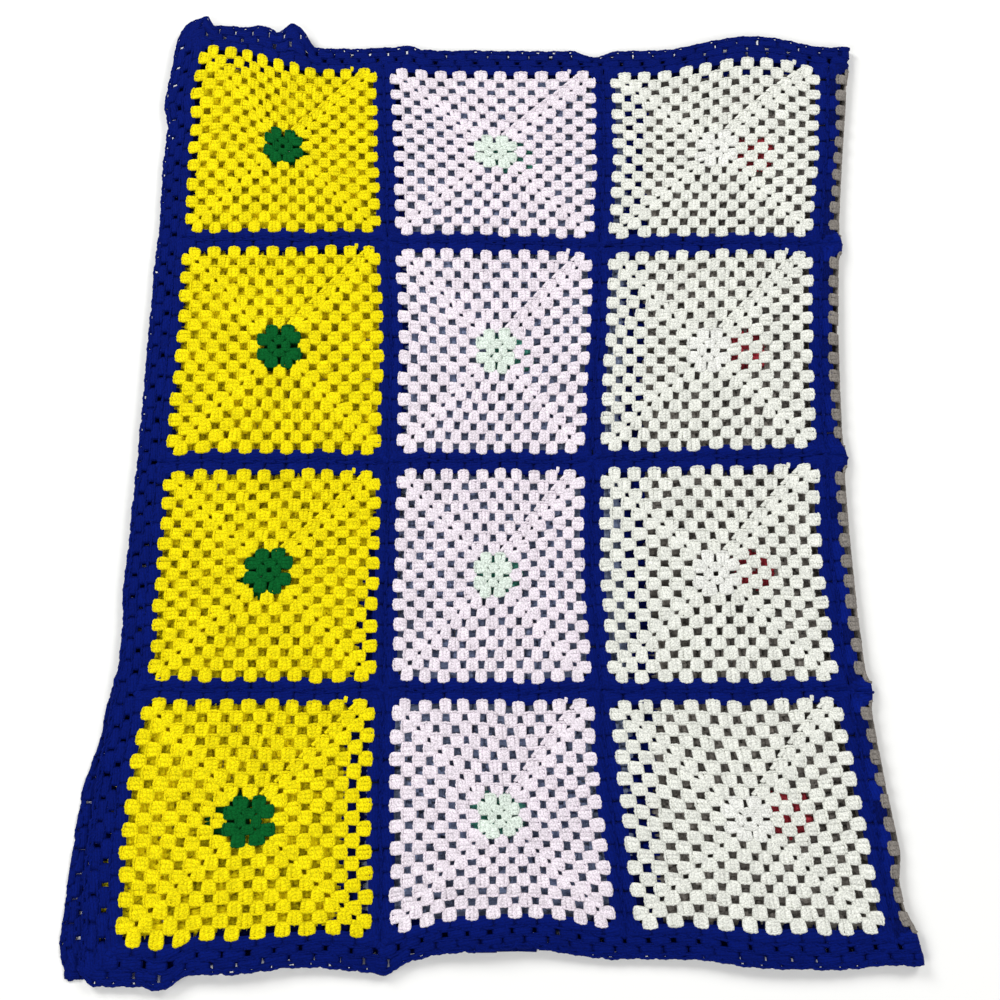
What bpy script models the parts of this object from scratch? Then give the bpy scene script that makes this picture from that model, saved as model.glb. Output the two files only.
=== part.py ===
"""Granny square blanket, folded once and laid flat.

Twenty-four crochet squares, six across and four down, are sewn together and edged all round. The blanket is
folded in half about a line down its fourth column, so that three columns show on top and three lie under them.
Every piece is drawn flat, as it was made, and then carried to its folded place by fold_blanket. Metres, +Z up,
origin at the middle of the underside, +Y towards the top edge of the blanket.
"""

import math
from collections import namedtuple

import bmesh
import bpy
import numpy as np

# The blanket as it was made, opened out flat: u runs across the columns and v up the rows.
SQUARE = 0.304  # one square with its last, blue round, from seam to seam
EDGING = 0.026  # the two blue rounds worked round the whole blanket
COLUMNS = 6
ROWS = 4
WIDTH = COLUMNS * SQUARE + 2 * EDGING
HEIGHT = ROWS * SQUARE + 2 * EDGING
THICK = 0.003  # of the crocheted cloth
PARTING = 0.0003  # left between two pieces that are sewn together

# The openwork: rings of gaps between the shells, one more gap a side in each ring, as in a granny square.
CELLS = 7  # gap cells across a square of the upper layer
GAP = 0.009  # one side of a gap
SHELL = SQUARE / 10.5  # pitch of the shells in the edging's last round
SCALLOP = 0.002  # depth of the dips between those shells

# The fold and the two layers.
FOLD_U = EDGING + 3 * SQUARE + 0.028  # flat place of the fold, in the first shells of the fourth column
FOLD_RADIUS = 0.006  # of the cloth's middle, where it turns under
FOLD_STEPS = 6
TURN = math.pi * FOLD_RADIUS  # flat length of cloth in the turn
UNDER_Z = THICK / 2
UPPER_Z = UNDER_Z + THICK + 0.003
FOLD_RISE = 0.075  # the upper layer climbs to the turn over this width
UNDER_CELLS = 4  # cells across a square of the under layer, which lies flat

# Where the cloth lies: x and y at each line across the blanket, for each line down it.
Line = namedtuple("Line", "name v left seam_1_2 seam_2_3 seam_3_4 fold seam_4_5 seam_5_6 end")
LINES = [
    Line("bottom edge", 0.0,
         (-0.479, -0.632), (-0.129, -0.628), (0.160, -0.614), (0.475, -0.621), (0.499, -0.622),
         (0.178, -0.608), (-0.165, -0.611), (-0.493, -0.638)),
    Line("rows 3 and 4", EDGING + SQUARE,
         (-0.464, -0.305), (-0.134, -0.305), (0.131, -0.306), (0.434, -0.305), (0.458, -0.305),
         (0.182, -0.306), (-0.160, -0.306), (-0.472, -0.308)),
    Line("rows 2 and 3", EDGING + 2 * SQUARE,
         (-0.456, -0.014), (-0.133, -0.013), (0.127, -0.012), (0.425, -0.007), (0.449, -0.008),
         (0.178, -0.014), (-0.131, -0.014), (-0.455, -0.014)),
    Line("rows 1 and 2", EDGING + 3 * SQUARE,
         (-0.452, 0.301), (-0.141, 0.298), (0.146, 0.291), (0.441, 0.292), (0.464, 0.290),
         (0.191, 0.294), (-0.132, 0.296), (-0.449, 0.296)),
    Line("top edge", HEIGHT,
         (-0.436, 0.598), (-0.158, 0.593), (0.155, 0.590), (0.474, 0.593), (0.500, 0.593),
         (0.200, 0.586), (-0.146, 0.586), (-0.439, 0.610)),
]

# The middle of the folded blanket in those figures, which becomes the origin.
MIDDLE_X = -0.0017
MIDDLE_Y = -0.0014

# Waves in the edges, which are the upper layer's but for "end", and the knobs that the seams make on the fold: full
# over the middle of each, fading over soft at its ends, and pushed outwards by out at the edge and by nothing at
# reach from it.
Wave = namedtuple("Wave", "name edge centre half soft out reach")
WAVES = [
    Wave("raised corner", "top", 0.075, 0.125, 0.115, 0.033, 0.320),
    Wave("rounded upper corner", "top", 0.000, 0.008, 0.008, -0.007, 0.040),
    Wave("first peak", "top", 0.017, 0.036, 0.016, 0.019, 0.060),
    Wave("shoulder", "top", 0.150, 0.055, 0.045, 0.016, 0.060),
    Wave("second peak", "top", 0.193, 0.034, 0.030, 0.030, 0.045),
    Wave("small rise", "top", 0.369, 0.022, 0.022, 0.005, 0.060),
    Wave("dip at the seam", "top", 0.621, 0.028, 0.025, -0.009, 0.030),
    Wave("arch", "top", 0.831, 0.125, 0.120, 0.018, 0.280),
    Wave("rounded lower corner", "bottom", 0.000, 0.020, 0.020, -0.010, 0.050),
    Wave("low corner", "bottom", 0.055, 0.070, 0.030, 0.012, 0.090),
    Wave("lobe beside it", "bottom", 0.088, 0.022, 0.020, 0.005, 0.050),
    Wave("drawn in", "bottom", 0.240, 0.080, 0.070, -0.007, 0.120),
    Wave("bump at the first seam", "bottom", 0.338, 0.022, 0.020, 0.008, 0.040),
    Wave("long hollow", "bottom", 0.460, 0.160, 0.120, -0.017, 0.240),
    Wave("droop", "bottom", 0.820, 0.120, 0.090, 0.008, 0.100),
    Wave("corner drawn out", "left", 1.197, 0.090, 0.050, 0.010, 0.100),
    Wave("upper bulge", "left", 1.100, 0.150, 0.120, 0.006, 0.250),
    Wave("hollow", "left", 0.385, 0.080, 0.060, -0.004, 0.100),
    Wave("knob by the lowest seam", "left", 0.344, 0.012, 0.012, 0.004, 0.030),
    Wave("lower bulge", "left", 0.170, 0.150, 0.110, 0.007, 0.120),
    Wave("under layer, hollow", "end", 0.385, 0.080, 0.060, -0.009, 0.100),
    Wave("under layer, lower left", "end", 0.125, 0.165, 0.090, 0.015, 0.150),
    Wave("under layer, rounded corner", "end", 0.000, 0.040, 0.040, -0.006, 0.080),
    Wave("knob of rows 1 and 2", "fold", EDGING + 3 * SQUARE, 0.020, 0.016, 0.005, 0.040),
    Wave("knob of rows 2 and 3", "fold", EDGING + 2 * SQUARE, 0.020, 0.016, 0.006, 0.040),
    Wave("knob of rows 3 and 4", "fold", EDGING + SQUARE, 0.020, 0.016, 0.006, 0.040),
    Wave("fold drawn in, lowest row", "fold", 0.082, 0.055, 0.045, -0.009, 0.040),
]

# Soft ridges of the upper layer, in flat places: turned by lie from the u direction, falling away over half_length
# along themselves and half_width across.
Ridge = namedtuple("Ridge", "name u v lie half_length half_width height")
RIDGES = [
    Ridge("corner lift", 0.030, 1.225, 75, 0.090, 0.055, 0.005),
    Ridge("pleat below the second peak", 0.190, 1.235, 84, 0.070, 0.035, 0.007),
    Ridge("arch of the third column", 0.820, 1.250, 0, 0.110, 0.045, 0.007),
    Ridge("first seam, top", 0.345, 1.240, 90, 0.080, 0.040, 0.005),
    Ridge("squeezed rounds, upper", 0.470, 0.150, 3, 0.110, 0.016, 0.005),
    Ridge("squeezed rounds, lower", 0.470, 0.085, -4, 0.120, 0.016, 0.006),
    Ridge("second column, bottom", 0.470, 0.012, 0, 0.090, 0.030, 0.008),
    Ridge("first column, bottom", 0.170, 0.010, 0, 0.090, 0.030, 0.006),
    Ridge("third column, bottom", 0.800, 0.010, 0, 0.120, 0.028, 0.006),
    Ridge("slack of the first column", 0.200, 0.800, 60, 0.160, 0.060, 0.003),
    Ridge("slack of the third column", 0.760, 0.470, 50, 0.170, 0.060, 0.003),
    Ridge("along the left edge", 0.012, 0.640, 90, 0.300, 0.020, 0.003),
]

# Slack in single squares: how far the middle of each, by row and column, lies aside from where its seams would have
# it. It is nothing at the seams, and in the fourth column it is kept clear of the turn.
Slack = namedtuple("Slack", "row column across up")
SLACKS = [
    Slack(1, 1, -0.002, 0.001), Slack(1, 2, 0.004, -0.001), Slack(1, 3, 0.005, 0.000),
    Slack(1, 4, 0.006, 0.000), Slack(1, 5, 0.000, -0.007),
    Slack(2, 2, 0.005, -0.003), Slack(2, 3, 0.001, -0.005),
    Slack(2, 4, -0.002, 0.000), Slack(2, 5, -0.005, -0.006),
    Slack(3, 1, 0.000, 0.005), Slack(3, 2, 0.004, -0.001), Slack(3, 3, 0.005, -0.002),
    Slack(3, 4, -0.003, 0.006), Slack(3, 5, -0.007, 0.000),
    Slack(4, 1, -0.006, -0.006), Slack(4, 2, 0.002, -0.007), Slack(4, 3, 0.009, -0.009),
    Slack(4, 4, 0.012, -0.004), Slack(4, 5, -0.002, -0.007),
]
TURN_CLEARANCE = 0.038  # flat distance from the seam of the third and fourth columns to the end of the turn

YARNS = {
    "bright_yellow": (0.94, 0.74, 0.00),
    "pale_pink": (0.90, 0.72, 0.80),
    "cream_white": (0.82, 0.82, 0.73),
    "warm_grey": (0.30, 0.27, 0.25),
    "slate_blue": (0.18, 0.23, 0.39),
    "royal_blue": (0.00, 0.01, 0.20),
}
COLUMN_YARNS = ("bright_yellow", "pale_pink", "cream_white", "warm_grey", "slate_blue", "bright_yellow")


def fade(x):
    """0 up to x = 0, 1 from x = 1, and smooth between."""
    x = np.clip(x, 0.0, 1.0)
    return x * x * (3 - 2 * x)


def through(stations, values, at):
    """The smooth curve through values at the stations, read at the places in at. values may hold a row of curves."""
    stations = np.asarray(stations, float)
    values = np.asarray(values, float)
    steps = np.diff(stations)
    slopes = np.diff(values) / steps
    inner = (slopes[..., :-1] * steps[1:] + slopes[..., 1:] * steps[:-1]) / (steps[1:] + steps[:-1])
    tangents = np.concatenate([slopes[..., :1], inner, slopes[..., -1:]], axis=-1)
    k = np.clip(np.searchsorted(stations, at, side="right") - 1, 0, len(steps) - 1)
    t = (at - stations[k]) / steps[k]
    rows = (np.arange(len(k)), k) if values.ndim == 2 else (k,)
    ends = (rows[0], k + 1) if values.ndim == 2 else (k + 1,)
    low, high = values[rows], values[ends]
    out, into = tangents[rows] * steps[k], tangents[ends] * steps[k]
    return (
        low * (2 * t**3 - 3 * t**2 + 1)
        + out * (t**3 - 2 * t**2 + t)
        + high * (3 * t**2 - 2 * t**3)
        + into * (t**3 - t**2)
    )


def lie(u, v, columns, stations):
    """x and y of flat places on one layer, from the named columns of LINES that stand at the given u stations."""
    heights = [line.v for line in LINES]
    found = []
    for axis in (0, 1):
        crossings = [through(heights, [getattr(line, c)[axis] for line in LINES], v) for c in columns]
        found.append(through(stations, np.stack(crossings, axis=1), u))
    return found


def middle(u, v):
    """The middle of the cloth's thickness, folded and laid, at flat places u, v."""
    turn_in, turn_out = FOLD_U - TURN / 2, FOLD_U + TURN / 2
    upper = lie(
        u, v, ("left", "seam_1_2", "seam_2_3", "seam_3_4", "fold"),
        (0, EDGING + SQUARE, EDGING + 2 * SQUARE, EDGING + 3 * SQUARE, turn_in + FOLD_RADIUS),
    )
    under = lie(
        u, v, ("fold", "seam_4_5", "seam_5_6", "end"),
        (turn_out - FOLD_RADIUS, EDGING + 4 * SQUARE, EDGING + 5 * SQUARE, WIDTH),
    )
    fold = lie(np.zeros_like(u), v, ("fold", "fold"), (0, 1))
    for slack in SLACKS:
        du = abs(u - EDGING - (slack.column - 0.5) * SQUARE)
        dv = abs(v - EDGING - (ROWS - slack.row + 0.5) * SQUARE)
        half = SQUARE / 2 - (TURN_CLEARANCE if slack.column == 4 else 0)
        loose = fade(1 - du / half) * fade(1 - dv / (SQUARE / 2))
        layer = under if slack.column > 3 else upper
        layer[0] = layer[0] + slack.across * loose
        layer[1] = layer[1] + slack.up * loose

    flat_on = 1 - fade((u - turn_in + FOLD_RISE) / FOLD_RISE)
    x, y = upper
    knob = np.zeros_like(u)
    for wave in WAVES:
        along, inward = {
            "top": (u, HEIGHT - v), "bottom": (u, v), "left": (v, u), "end": (v, WIDTH - u),
            "fold": (v, abs(u - FOLD_U)),
        }[wave.edge]
        push = wave.out * fade((wave.half - abs(along - wave.centre)) / wave.soft) * fade(1 - inward / wave.reach)
        if wave.edge == "fold":
            knob += push
        elif wave.edge == "end":
            under[0] = under[0] - push
        elif wave.edge == "left":
            x = x - push * flat_on
        else:
            y = y + push * flat_on * (1 if wave.edge == "top" else -1)

    z = np.full_like(u, UPPER_Z)
    for ridge in RIDGES:
        turned = math.radians(ridge.lie)
        du, dv = u - ridge.u, v - ridge.v
        along = (du * math.cos(turned) + dv * math.sin(turned)) / ridge.half_length
        across = (dv * math.cos(turned) - du * math.sin(turned)) / ridge.half_width
        z += ridge.height * np.exp(-along**2 - across**2)
    z += (UNDER_Z + 2 * FOLD_RADIUS - z) * (1 - flat_on)

    angle = np.clip((u - turn_in) / FOLD_RADIUS, 0, math.pi)
    turning = (u > turn_in) & (u < turn_out)
    beneath = u >= turn_out
    x = np.where(turning, fold[0] - FOLD_RADIUS * (1 - np.sin(angle)), np.where(beneath, under[0], x))
    y = np.where(turning, fold[1], np.where(beneath, under[1], y))
    z = np.where(turning, UNDER_Z + FOLD_RADIUS * (1 + np.cos(angle)), np.where(beneath, UNDER_Z, z))
    return np.stack([x + knob - MIDDLE_X, y - MIDDLE_Y, z], axis=-1)


def fold_blanket(flat):
    """Carries points of the flat blanket, as rows of u, v and w, to the folded one. w is measured from the middle
    of the cloth towards its right side, which is outermost all the way round the fold."""
    u, v, w = np.asarray(flat, float).T
    step = 0.0005
    across = middle(u + step, v) - middle(u - step, v)
    up = middle(u, v + step) - middle(u, v - step)
    outward = np.cross(across, up)
    outward /= np.linalg.norm(outward, axis=1, keepdims=True)
    outward[u >= FOLD_U + TURN / 2] = (0, 0, -1)
    return middle(u, v) + outward * w[:, None]


def cell_lines(column):
    """The u lines that the mesh of one column of squares follows, seam to seam."""
    start = EDGING + column * SQUARE
    if column < 3:
        return list(np.linspace(start, start + SQUARE, CELLS + 1))
    if column > 3:
        return list(np.linspace(start, start + SQUARE, UNDER_CELLS + 1))
    turn = np.linspace(FOLD_U - TURN / 2, FOLD_U + TURN / 2, FOLD_STEPS + 1)
    rest = np.linspace(FOLD_U + TURN / 2, start + SQUARE, UNDER_CELLS + 1)
    return [start, *turn, *rest[1:]]


def flat_grid(us, vs):
    """A flat bmesh grid with its lines at us and vs."""
    bm = bmesh.new()
    bmesh.ops.create_grid(bm, x_segments=len(us) - 1, y_segments=len(vs) - 1, size=0.5)
    for vert in bm.verts:
        column = round((vert.co.x + 0.5) * (len(us) - 1))
        row = round((vert.co.y + 0.5) * (len(vs) - 1))
        vert.co = (us[column], vs[row], 0)
    return bm


def cut_gaps(bm, centre_u, centre_v):
    """Opens the rings of gaps: in ring k, k gaps a side, half a cell in from those of the next ring."""
    cell = SQUARE / CELLS
    pierced = []
    for face in bm.faces:
        middle_point = face.calc_center_median()
        i = round((middle_point.x - centre_u) / cell)
        j = round((middle_point.y - centre_v) / cell)
        ring = max(abs(i), abs(j))
        if ring and abs(i) != abs(j) and (ring + min(abs(i), abs(j))) % 2:
            pierced.append(face)
    inset = (cell - GAP) / 2
    bmesh.ops.inset_individual(bm, faces=pierced, thickness=inset, use_even_offset=True)
    bmesh.ops.delete(bm, geom=pierced, context="FACES_ONLY")


def scallop(bm):
    """Cuts the outer edges of the flat edging into half shells and draws the points between shells in."""
    for axis, far in ((0, WIDTH), (1, HEIGHT)):
        for side, inwards in ((0, 1), (far, -1)):
            outer = [
                edge for edge in bm.edges
                if all(abs(vert.co[axis] - side) < PARTING for vert in edge.verts) and edge.calc_length() > SHELL
            ]
            for edge in outer:
                cuts = round(edge.calc_length() / (SHELL / 2)) - 1
                bmesh.ops.subdivide_edges(bm, edges=[edge], cuts=cuts)
            for vert in bm.verts:
                along = (vert.co[1 - axis] - EDGING) / SHELL
                if abs(vert.co[axis] - side) < PARTING and 0 < along:
                    vert.co[axis] += inwards * SCALLOP * math.cos(math.pi * along) ** 2


def thicken(bm):
    """Turns the open flat sheet into a closed one of the cloth's thickness, with its middle at w = 0."""
    made = bmesh.ops.extrude_face_region(bm, geom=bm.faces[:], use_keep_orig=True)
    raised = {item for item in made["geom"] if isinstance(item, bmesh.types.BMVert)}
    for vert in bm.verts:
        vert.co.z = THICK / 2 if vert in raised else -THICK / 2
    bmesh.ops.recalc_face_normals(bm, faces=bm.faces[:])


def yarn_material(name):
    material = bpy.data.materials.get(name)
    if material:
        return material
    material = bpy.data.materials.new(name)
    material.use_nodes = True
    shader = material.node_tree.nodes["Principled BSDF"]
    shader.inputs["Base Color"].default_value = (*YARNS[name], 1)
    shader.inputs["Roughness"].default_value = 0.9
    shader.inputs["Metallic"].default_value = 0.0
    return material


def add_piece(name, bm, yarn, collection):
    """Makes the flat, thickened sheet an object in its folded place. Each four-sided face is split along its shorter
    diagonal after the folding, so that the walls of two pieces along one seam are split alike."""
    for vert, place in zip(bm.verts, fold_blanket([vert.co for vert in bm.verts])):
        vert.co = place
    bmesh.ops.triangulate(bm, faces=bm.faces[:], quad_method="SHORT_EDGE")
    mesh = bpy.data.meshes.new(name)
    bm.to_mesh(mesh)
    bm.free()
    mesh.materials.append(yarn_material(yarn))
    collection.objects.link(bpy.data.objects.new(name, mesh))


def make_square(row, column, collection):
    """One granny square, made whole with its last, blue round. Rows count from the top, columns from the left of the
    upper layer; the fourth column turns under at the fold."""
    us = cell_lines(column)
    low = EDGING + (ROWS - 1 - row) * SQUARE
    vs = list(np.linspace(low, low + SQUARE, CELLS + 1))
    bm = flat_grid(us, vs)
    if column < 3:
        cut_gaps(bm, (us[0] + us[-1]) / 2, (vs[0] + vs[-1]) / 2)
    for vert in bm.verts:
        for axis, lines in ((0, us), (1, vs)):
            if abs(vert.co[axis] - lines[0]) < PARTING / 2:
                vert.co[axis] += PARTING / 2
            elif abs(vert.co[axis] - lines[-1]) < PARTING / 2:
                vert.co[axis] -= PARTING / 2
    thicken(bm)
    add_piece(f"square_r{row + 1}_c{column + 1}", bm, COLUMN_YARNS[column], collection)


def make_edging(collection):
    """The blue edging: a ring worked round the whole blanket, in one piece, which turns under with it."""
    inner_us = [EDGING]
    for column in range(COLUMNS):
        inner_us += cell_lines(column)[1:]
    us = [0, *inner_us, WIDTH]
    vs = [0, *np.linspace(EDGING, HEIGHT - EDGING, ROWS * CELLS + 1), HEIGHT]
    bm = flat_grid(us, vs)
    middles = [
        face for face in bm.faces
        if EDGING < face.calc_center_median().x < WIDTH - EDGING
        and EDGING < face.calc_center_median().y < HEIGHT - EDGING
    ]
    bmesh.ops.delete(bm, geom=middles, context="FACES")
    scallop(bm)
    thicken(bm)
    for vert in bm.verts:
        flat = tuple(vert.co)
        sides = ((0, WIDTH - EDGING), (1, HEIGHT - EDGING))
        if all(EDGING - PARTING < flat[axis] < far + PARTING for axis, far in sides):
            for axis, far in sides:
                if flat[axis] < EDGING + PARTING:
                    vert.co[axis] -= PARTING / 2
                elif flat[axis] > far - PARTING:
                    vert.co[axis] += PARTING / 2
    add_piece("edging", bm, "royal_blue", collection)


def main():
    for obj in list(bpy.data.objects):
        bpy.data.objects.remove(obj)
    collection = bpy.data.collections.new("granny_square_blanket")
    bpy.context.scene.collection.children.link(collection)
    for row in range(ROWS):
        for column in range(COLUMNS):
            make_square(row, column, collection)
    make_edging(collection)


main()
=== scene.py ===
"""Granny square blanket in Blender 4.5, folded once and laid flat: its stitches, yarns and light.

Every stitch is worked on the flat blanket, where u runs across the columns, v up the rows and w out of the
right side, and is then carried to the place where the folded cloth lies. Metres, +Z up.
"""

import math
import random
from collections import namedtuple

import bpy
import numpy as np
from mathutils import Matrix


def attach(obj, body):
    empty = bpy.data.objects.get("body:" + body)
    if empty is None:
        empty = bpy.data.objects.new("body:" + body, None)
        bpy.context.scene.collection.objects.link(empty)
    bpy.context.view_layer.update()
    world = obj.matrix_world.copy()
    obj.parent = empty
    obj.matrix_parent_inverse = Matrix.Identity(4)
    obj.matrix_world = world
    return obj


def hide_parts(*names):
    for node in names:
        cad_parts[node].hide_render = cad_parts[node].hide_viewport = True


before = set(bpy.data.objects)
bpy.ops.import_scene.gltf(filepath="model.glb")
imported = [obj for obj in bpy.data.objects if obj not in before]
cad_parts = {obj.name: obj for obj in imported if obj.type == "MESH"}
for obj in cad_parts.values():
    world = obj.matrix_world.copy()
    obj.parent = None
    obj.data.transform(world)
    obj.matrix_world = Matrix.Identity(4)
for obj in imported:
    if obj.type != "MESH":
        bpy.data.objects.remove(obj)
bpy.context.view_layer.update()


# ---- Camera: stands above the laid blanket at the photograph's angle, tilted a little back from straight
# down, and looks at VIEW_MIDDLE on the floor.

VIEW_TILT = math.radians(15)
VIEW_DISTANCE = 1.581
VIEW_MIDDLE = (0.0106, -0.0605)
VIEW_LENS_MM = 44.5

camera = bpy.data.objects.new("camera", bpy.data.cameras.new("camera"))
camera.data.lens = VIEW_LENS_MM
camera.location = (
    VIEW_MIDDLE[0],
    VIEW_MIDDLE[1] - VIEW_DISTANCE * math.sin(VIEW_TILT),
    VIEW_DISTANCE * math.cos(VIEW_TILT),
)
camera.rotation_euler = (VIEW_TILT, 0, 0)
bpy.context.scene.collection.objects.link(camera)
bpy.context.scene.camera = camera


# ---- The folded cloth: how the blanket lies. Twenty-four squares, six across and four down, are sewn
# together and edged, and the whole is folded in half just inside its fourth column, so that three columns
# show on top.

SQUARE = 0.304
EDGING = 0.026
COLUMNS = 6
ROWS = 4
UPPER_COLUMNS = 3
WIDTH = COLUMNS * SQUARE + 2 * EDGING
HEIGHT = ROWS * SQUARE + 2 * EDGING
FOLD_PAST_SEAM = 0.028  # how far into the fourth column the fold lies
FOLD_U = EDGING + UPPER_COLUMNS * SQUARE + FOLD_PAST_SEAM
FOLD_RADIUS = 0.006
TURN = math.pi * FOLD_RADIUS
UNDER_Z = 0.0015  # heights of the middle of the cloth's thickness
UPPER_Z = 0.0075
FOLD_RISE = 0.075  # flat distance over which the upper layer rises to the top of the turn
MIDDLE_X = -0.0017  # the middle of the laid blanket, which comes to stand at the origin
MIDDLE_Y = -0.0014

# x and y at each line across the blanket, for each line down it.
Line = namedtuple("Line", "name v left seam_1_2 seam_2_3 seam_3_4 fold seam_4_5 seam_5_6 end")
LINES = [
    Line("bottom edge", 0.0,
         (-0.479, -0.632), (-0.129, -0.628), (0.160, -0.614), (0.475, -0.621), (0.499, -0.622),
         (0.178, -0.608), (-0.165, -0.611), (-0.493, -0.638)),
    Line("rows 3 and 4", EDGING + SQUARE,
         (-0.464, -0.305), (-0.134, -0.305), (0.131, -0.306), (0.434, -0.305), (0.458, -0.305),
         (0.182, -0.306), (-0.160, -0.306), (-0.472, -0.308)),
    Line("rows 2 and 3", EDGING + 2 * SQUARE,
         (-0.456, -0.014), (-0.133, -0.013), (0.127, -0.012), (0.425, -0.007), (0.449, -0.008),
         (0.178, -0.014), (-0.131, -0.014), (-0.455, -0.014)),
    Line("rows 1 and 2", EDGING + 3 * SQUARE,
         (-0.452, 0.301), (-0.141, 0.298), (0.146, 0.291), (0.441, 0.292), (0.464, 0.290),
         (0.191, 0.294), (-0.132, 0.296), (-0.449, 0.296)),
    Line("top edge", HEIGHT,
         (-0.436, 0.598), (-0.158, 0.593), (0.155, 0.590), (0.474, 0.593), (0.500, 0.593),
         (0.200, 0.586), (-0.146, 0.586), (-0.439, 0.610)),
]

# Waves in the edges, which are the upper layer's but for "end", and the knobs that the seams make on the
# fold: full over the middle of each, fading over soft at its ends, pushed outwards by out at the edge and by
# nothing at reach.
Wave = namedtuple("Wave", "name edge centre half soft out reach")
WAVES = [
    Wave("raised corner", "top", 0.075, 0.125, 0.115, 0.033, 0.320),
    Wave("rounded upper corner", "top", 0.000, 0.008, 0.008, -0.007, 0.040),
    Wave("first peak", "top", 0.017, 0.036, 0.016, 0.019, 0.060),
    Wave("shoulder", "top", 0.150, 0.055, 0.045, 0.016, 0.060),
    Wave("second peak", "top", 0.193, 0.034, 0.030, 0.030, 0.045),
    Wave("small rise", "top", 0.369, 0.022, 0.022, 0.005, 0.060),
    Wave("dip at the seam", "top", 0.621, 0.028, 0.025, -0.009, 0.030),
    Wave("arch", "top", 0.831, 0.125, 0.120, 0.018, 0.280),
    Wave("rounded lower corner", "bottom", 0.000, 0.020, 0.020, -0.010, 0.050),
    Wave("low corner", "bottom", 0.055, 0.070, 0.030, 0.012, 0.090),
    Wave("lobe beside it", "bottom", 0.088, 0.022, 0.020, 0.005, 0.050),
    Wave("drawn in", "bottom", 0.240, 0.080, 0.070, -0.007, 0.120),
    Wave("bump at the first seam", "bottom", 0.338, 0.022, 0.020, 0.008, 0.040),
    Wave("long hollow", "bottom", 0.460, 0.160, 0.120, -0.017, 0.240),
    Wave("droop", "bottom", 0.820, 0.120, 0.090, 0.008, 0.100),
    Wave("corner drawn out", "left", 1.197, 0.090, 0.050, 0.010, 0.100),
    Wave("upper bulge", "left", 1.100, 0.150, 0.120, 0.006, 0.250),
    Wave("hollow", "left", 0.385, 0.080, 0.060, -0.004, 0.100),
    Wave("knob by the lowest seam", "left", 0.344, 0.012, 0.012, 0.004, 0.030),
    Wave("lower bulge", "left", 0.170, 0.150, 0.110, 0.007, 0.120),
    Wave("under layer, hollow", "end", 0.385, 0.080, 0.060, -0.009, 0.100),
    Wave("under layer, lower left", "end", 0.125, 0.165, 0.090, 0.015, 0.150),
    Wave("under layer, rounded corner", "end", 0.000, 0.040, 0.040, -0.006, 0.080),
    Wave("knob of rows 1 and 2", "fold", EDGING + 3 * SQUARE, 0.020, 0.016, 0.005, 0.040),
    Wave("knob of rows 2 and 3", "fold", EDGING + 2 * SQUARE, 0.020, 0.016, 0.006, 0.040),
    Wave("knob of rows 3 and 4", "fold", EDGING + SQUARE, 0.020, 0.016, 0.006, 0.040),
    Wave("fold drawn in, lowest row", "fold", 0.082, 0.055, 0.045, -0.009, 0.040),
]

# Soft ridges of the upper layer, turned by lie from the u direction.
Ridge = namedtuple("Ridge", "name u v lie half_length half_width height")
RIDGES = [
    Ridge("corner lift", 0.030, 1.225, 75, 0.090, 0.055, 0.005),
    Ridge("pleat below the second peak", 0.190, 1.235, 84, 0.070, 0.035, 0.007),
    Ridge("arch of the third column", 0.820, 1.250, 0, 0.110, 0.045, 0.007),
    Ridge("first seam, top", 0.345, 1.240, 90, 0.080, 0.040, 0.005),
    Ridge("squeezed rounds, upper", 0.470, 0.150, 3, 0.110, 0.016, 0.005),
    Ridge("squeezed rounds, lower", 0.470, 0.085, -4, 0.120, 0.016, 0.006),
    Ridge("second column, bottom", 0.470, 0.012, 0, 0.090, 0.030, 0.008),
    Ridge("first column, bottom", 0.170, 0.010, 0, 0.090, 0.030, 0.006),
    Ridge("third column, bottom", 0.800, 0.010, 0, 0.120, 0.028, 0.006),
    Ridge("slack of the first column", 0.200, 0.800, 60, 0.160, 0.060, 0.003),
    Ridge("slack of the third column", 0.760, 0.470, 50, 0.170, 0.060, 0.003),
    Ridge("along the left edge", 0.012, 0.640, 90, 0.300, 0.020, 0.003),
]

# Slack in single squares: how far the middle of each, by row and column, lies aside from where its seams
# would have it. It is nothing at the seams, and in the fourth column it is kept clear of the turn.
Slack = namedtuple("Slack", "row column across up")
SLACKS = [
    Slack(1, 1, -0.002, 0.001), Slack(1, 2, 0.004, -0.001), Slack(1, 3, 0.005, 0.000),
    Slack(1, 4, 0.006, 0.000), Slack(1, 5, 0.000, -0.007),
    Slack(2, 2, 0.005, -0.003), Slack(2, 3, 0.001, -0.005),
    Slack(2, 4, -0.002, 0.000), Slack(2, 5, -0.005, -0.006),
    Slack(3, 1, 0.000, 0.005), Slack(3, 2, 0.004, -0.001), Slack(3, 3, 0.005, -0.002),
    Slack(3, 4, -0.003, 0.006), Slack(3, 5, -0.007, 0.000),
    Slack(4, 1, -0.006, -0.006), Slack(4, 2, 0.002, -0.007), Slack(4, 3, 0.009, -0.009),
    Slack(4, 4, 0.012, -0.004), Slack(4, 5, -0.002, -0.007),
]
TURN_CLEARANCE = 0.038  # flat distance from the seam of the third and fourth columns to the end of the turn

# Slight wandering of the rounds, since no hand works every shell alike: wavelengths across and up, and how
# far the stitches are moved sideways and up the blanket. It fades out at the blanket's own edges.
Wander = namedtuple("Wander", "wave_u wave_v phase sideways upwards")
WANDERS = [
    Wander(0.260, 0.410, 0.4, 0.0012, 0.0009),
    Wander(0.140, -0.230, 2.1, 0.0008, 0.0010),
    Wander(-0.071, 0.093, 4.0, 0.0006, 0.0007),
]
STEADY_EDGE = 0.05


def fade(x):
    """0 up to x = 0, 1 from x = 1, and smooth between."""
    x = np.clip(x, 0.0, 1.0)
    return x * x * (3 - 2 * x)


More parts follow.
